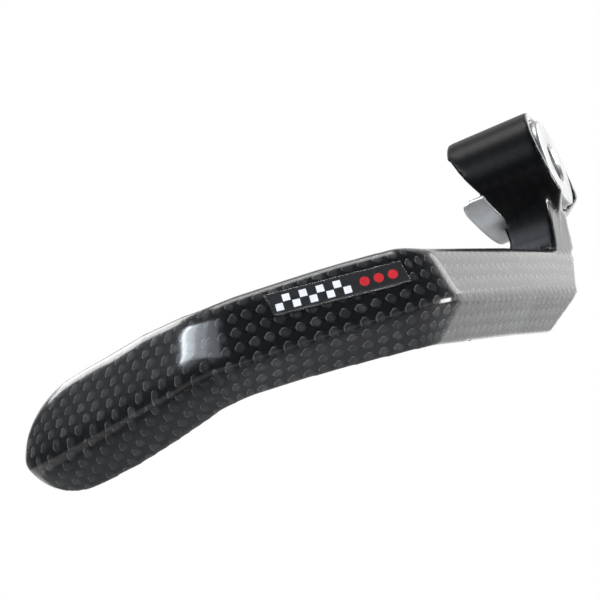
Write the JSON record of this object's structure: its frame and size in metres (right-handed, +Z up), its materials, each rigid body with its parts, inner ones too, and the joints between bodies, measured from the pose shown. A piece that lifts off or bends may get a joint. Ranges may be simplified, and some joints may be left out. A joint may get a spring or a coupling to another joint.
{
  "type": "brake lever guard",
  "caption": "Bent carbon fibre lever guard for a handlebar end: a faceted blade on a riser and a bored boss with an aluminium bush.",
  "frame": {"origin": "centre of the bore at the outboard face of the bush", "axes": "+X outboard along the bore axis, +Y rearward, +Z up"},
  "size_m": [0.1046, 0.1149, 0.0531],
  "materials": {
    "carbon": "clear gloss over plain weave carbon",
    "aluminium": "turned satin",
    "black_vinyl": "gloss",
    "white_ink": "gloss",
    "red_ink": "gloss",
    "clear_resin": "clear gloss"
  },
  "bodies": {
    "root": {"guard_shell": "carbon", "mount_bush": "aluminium", "label_vinyl": "black_vinyl", "label_print_white": "white_ink", "label_print_red": "red_ink", "label_dome": "clear_resin"}
  },
  "joints": []
}
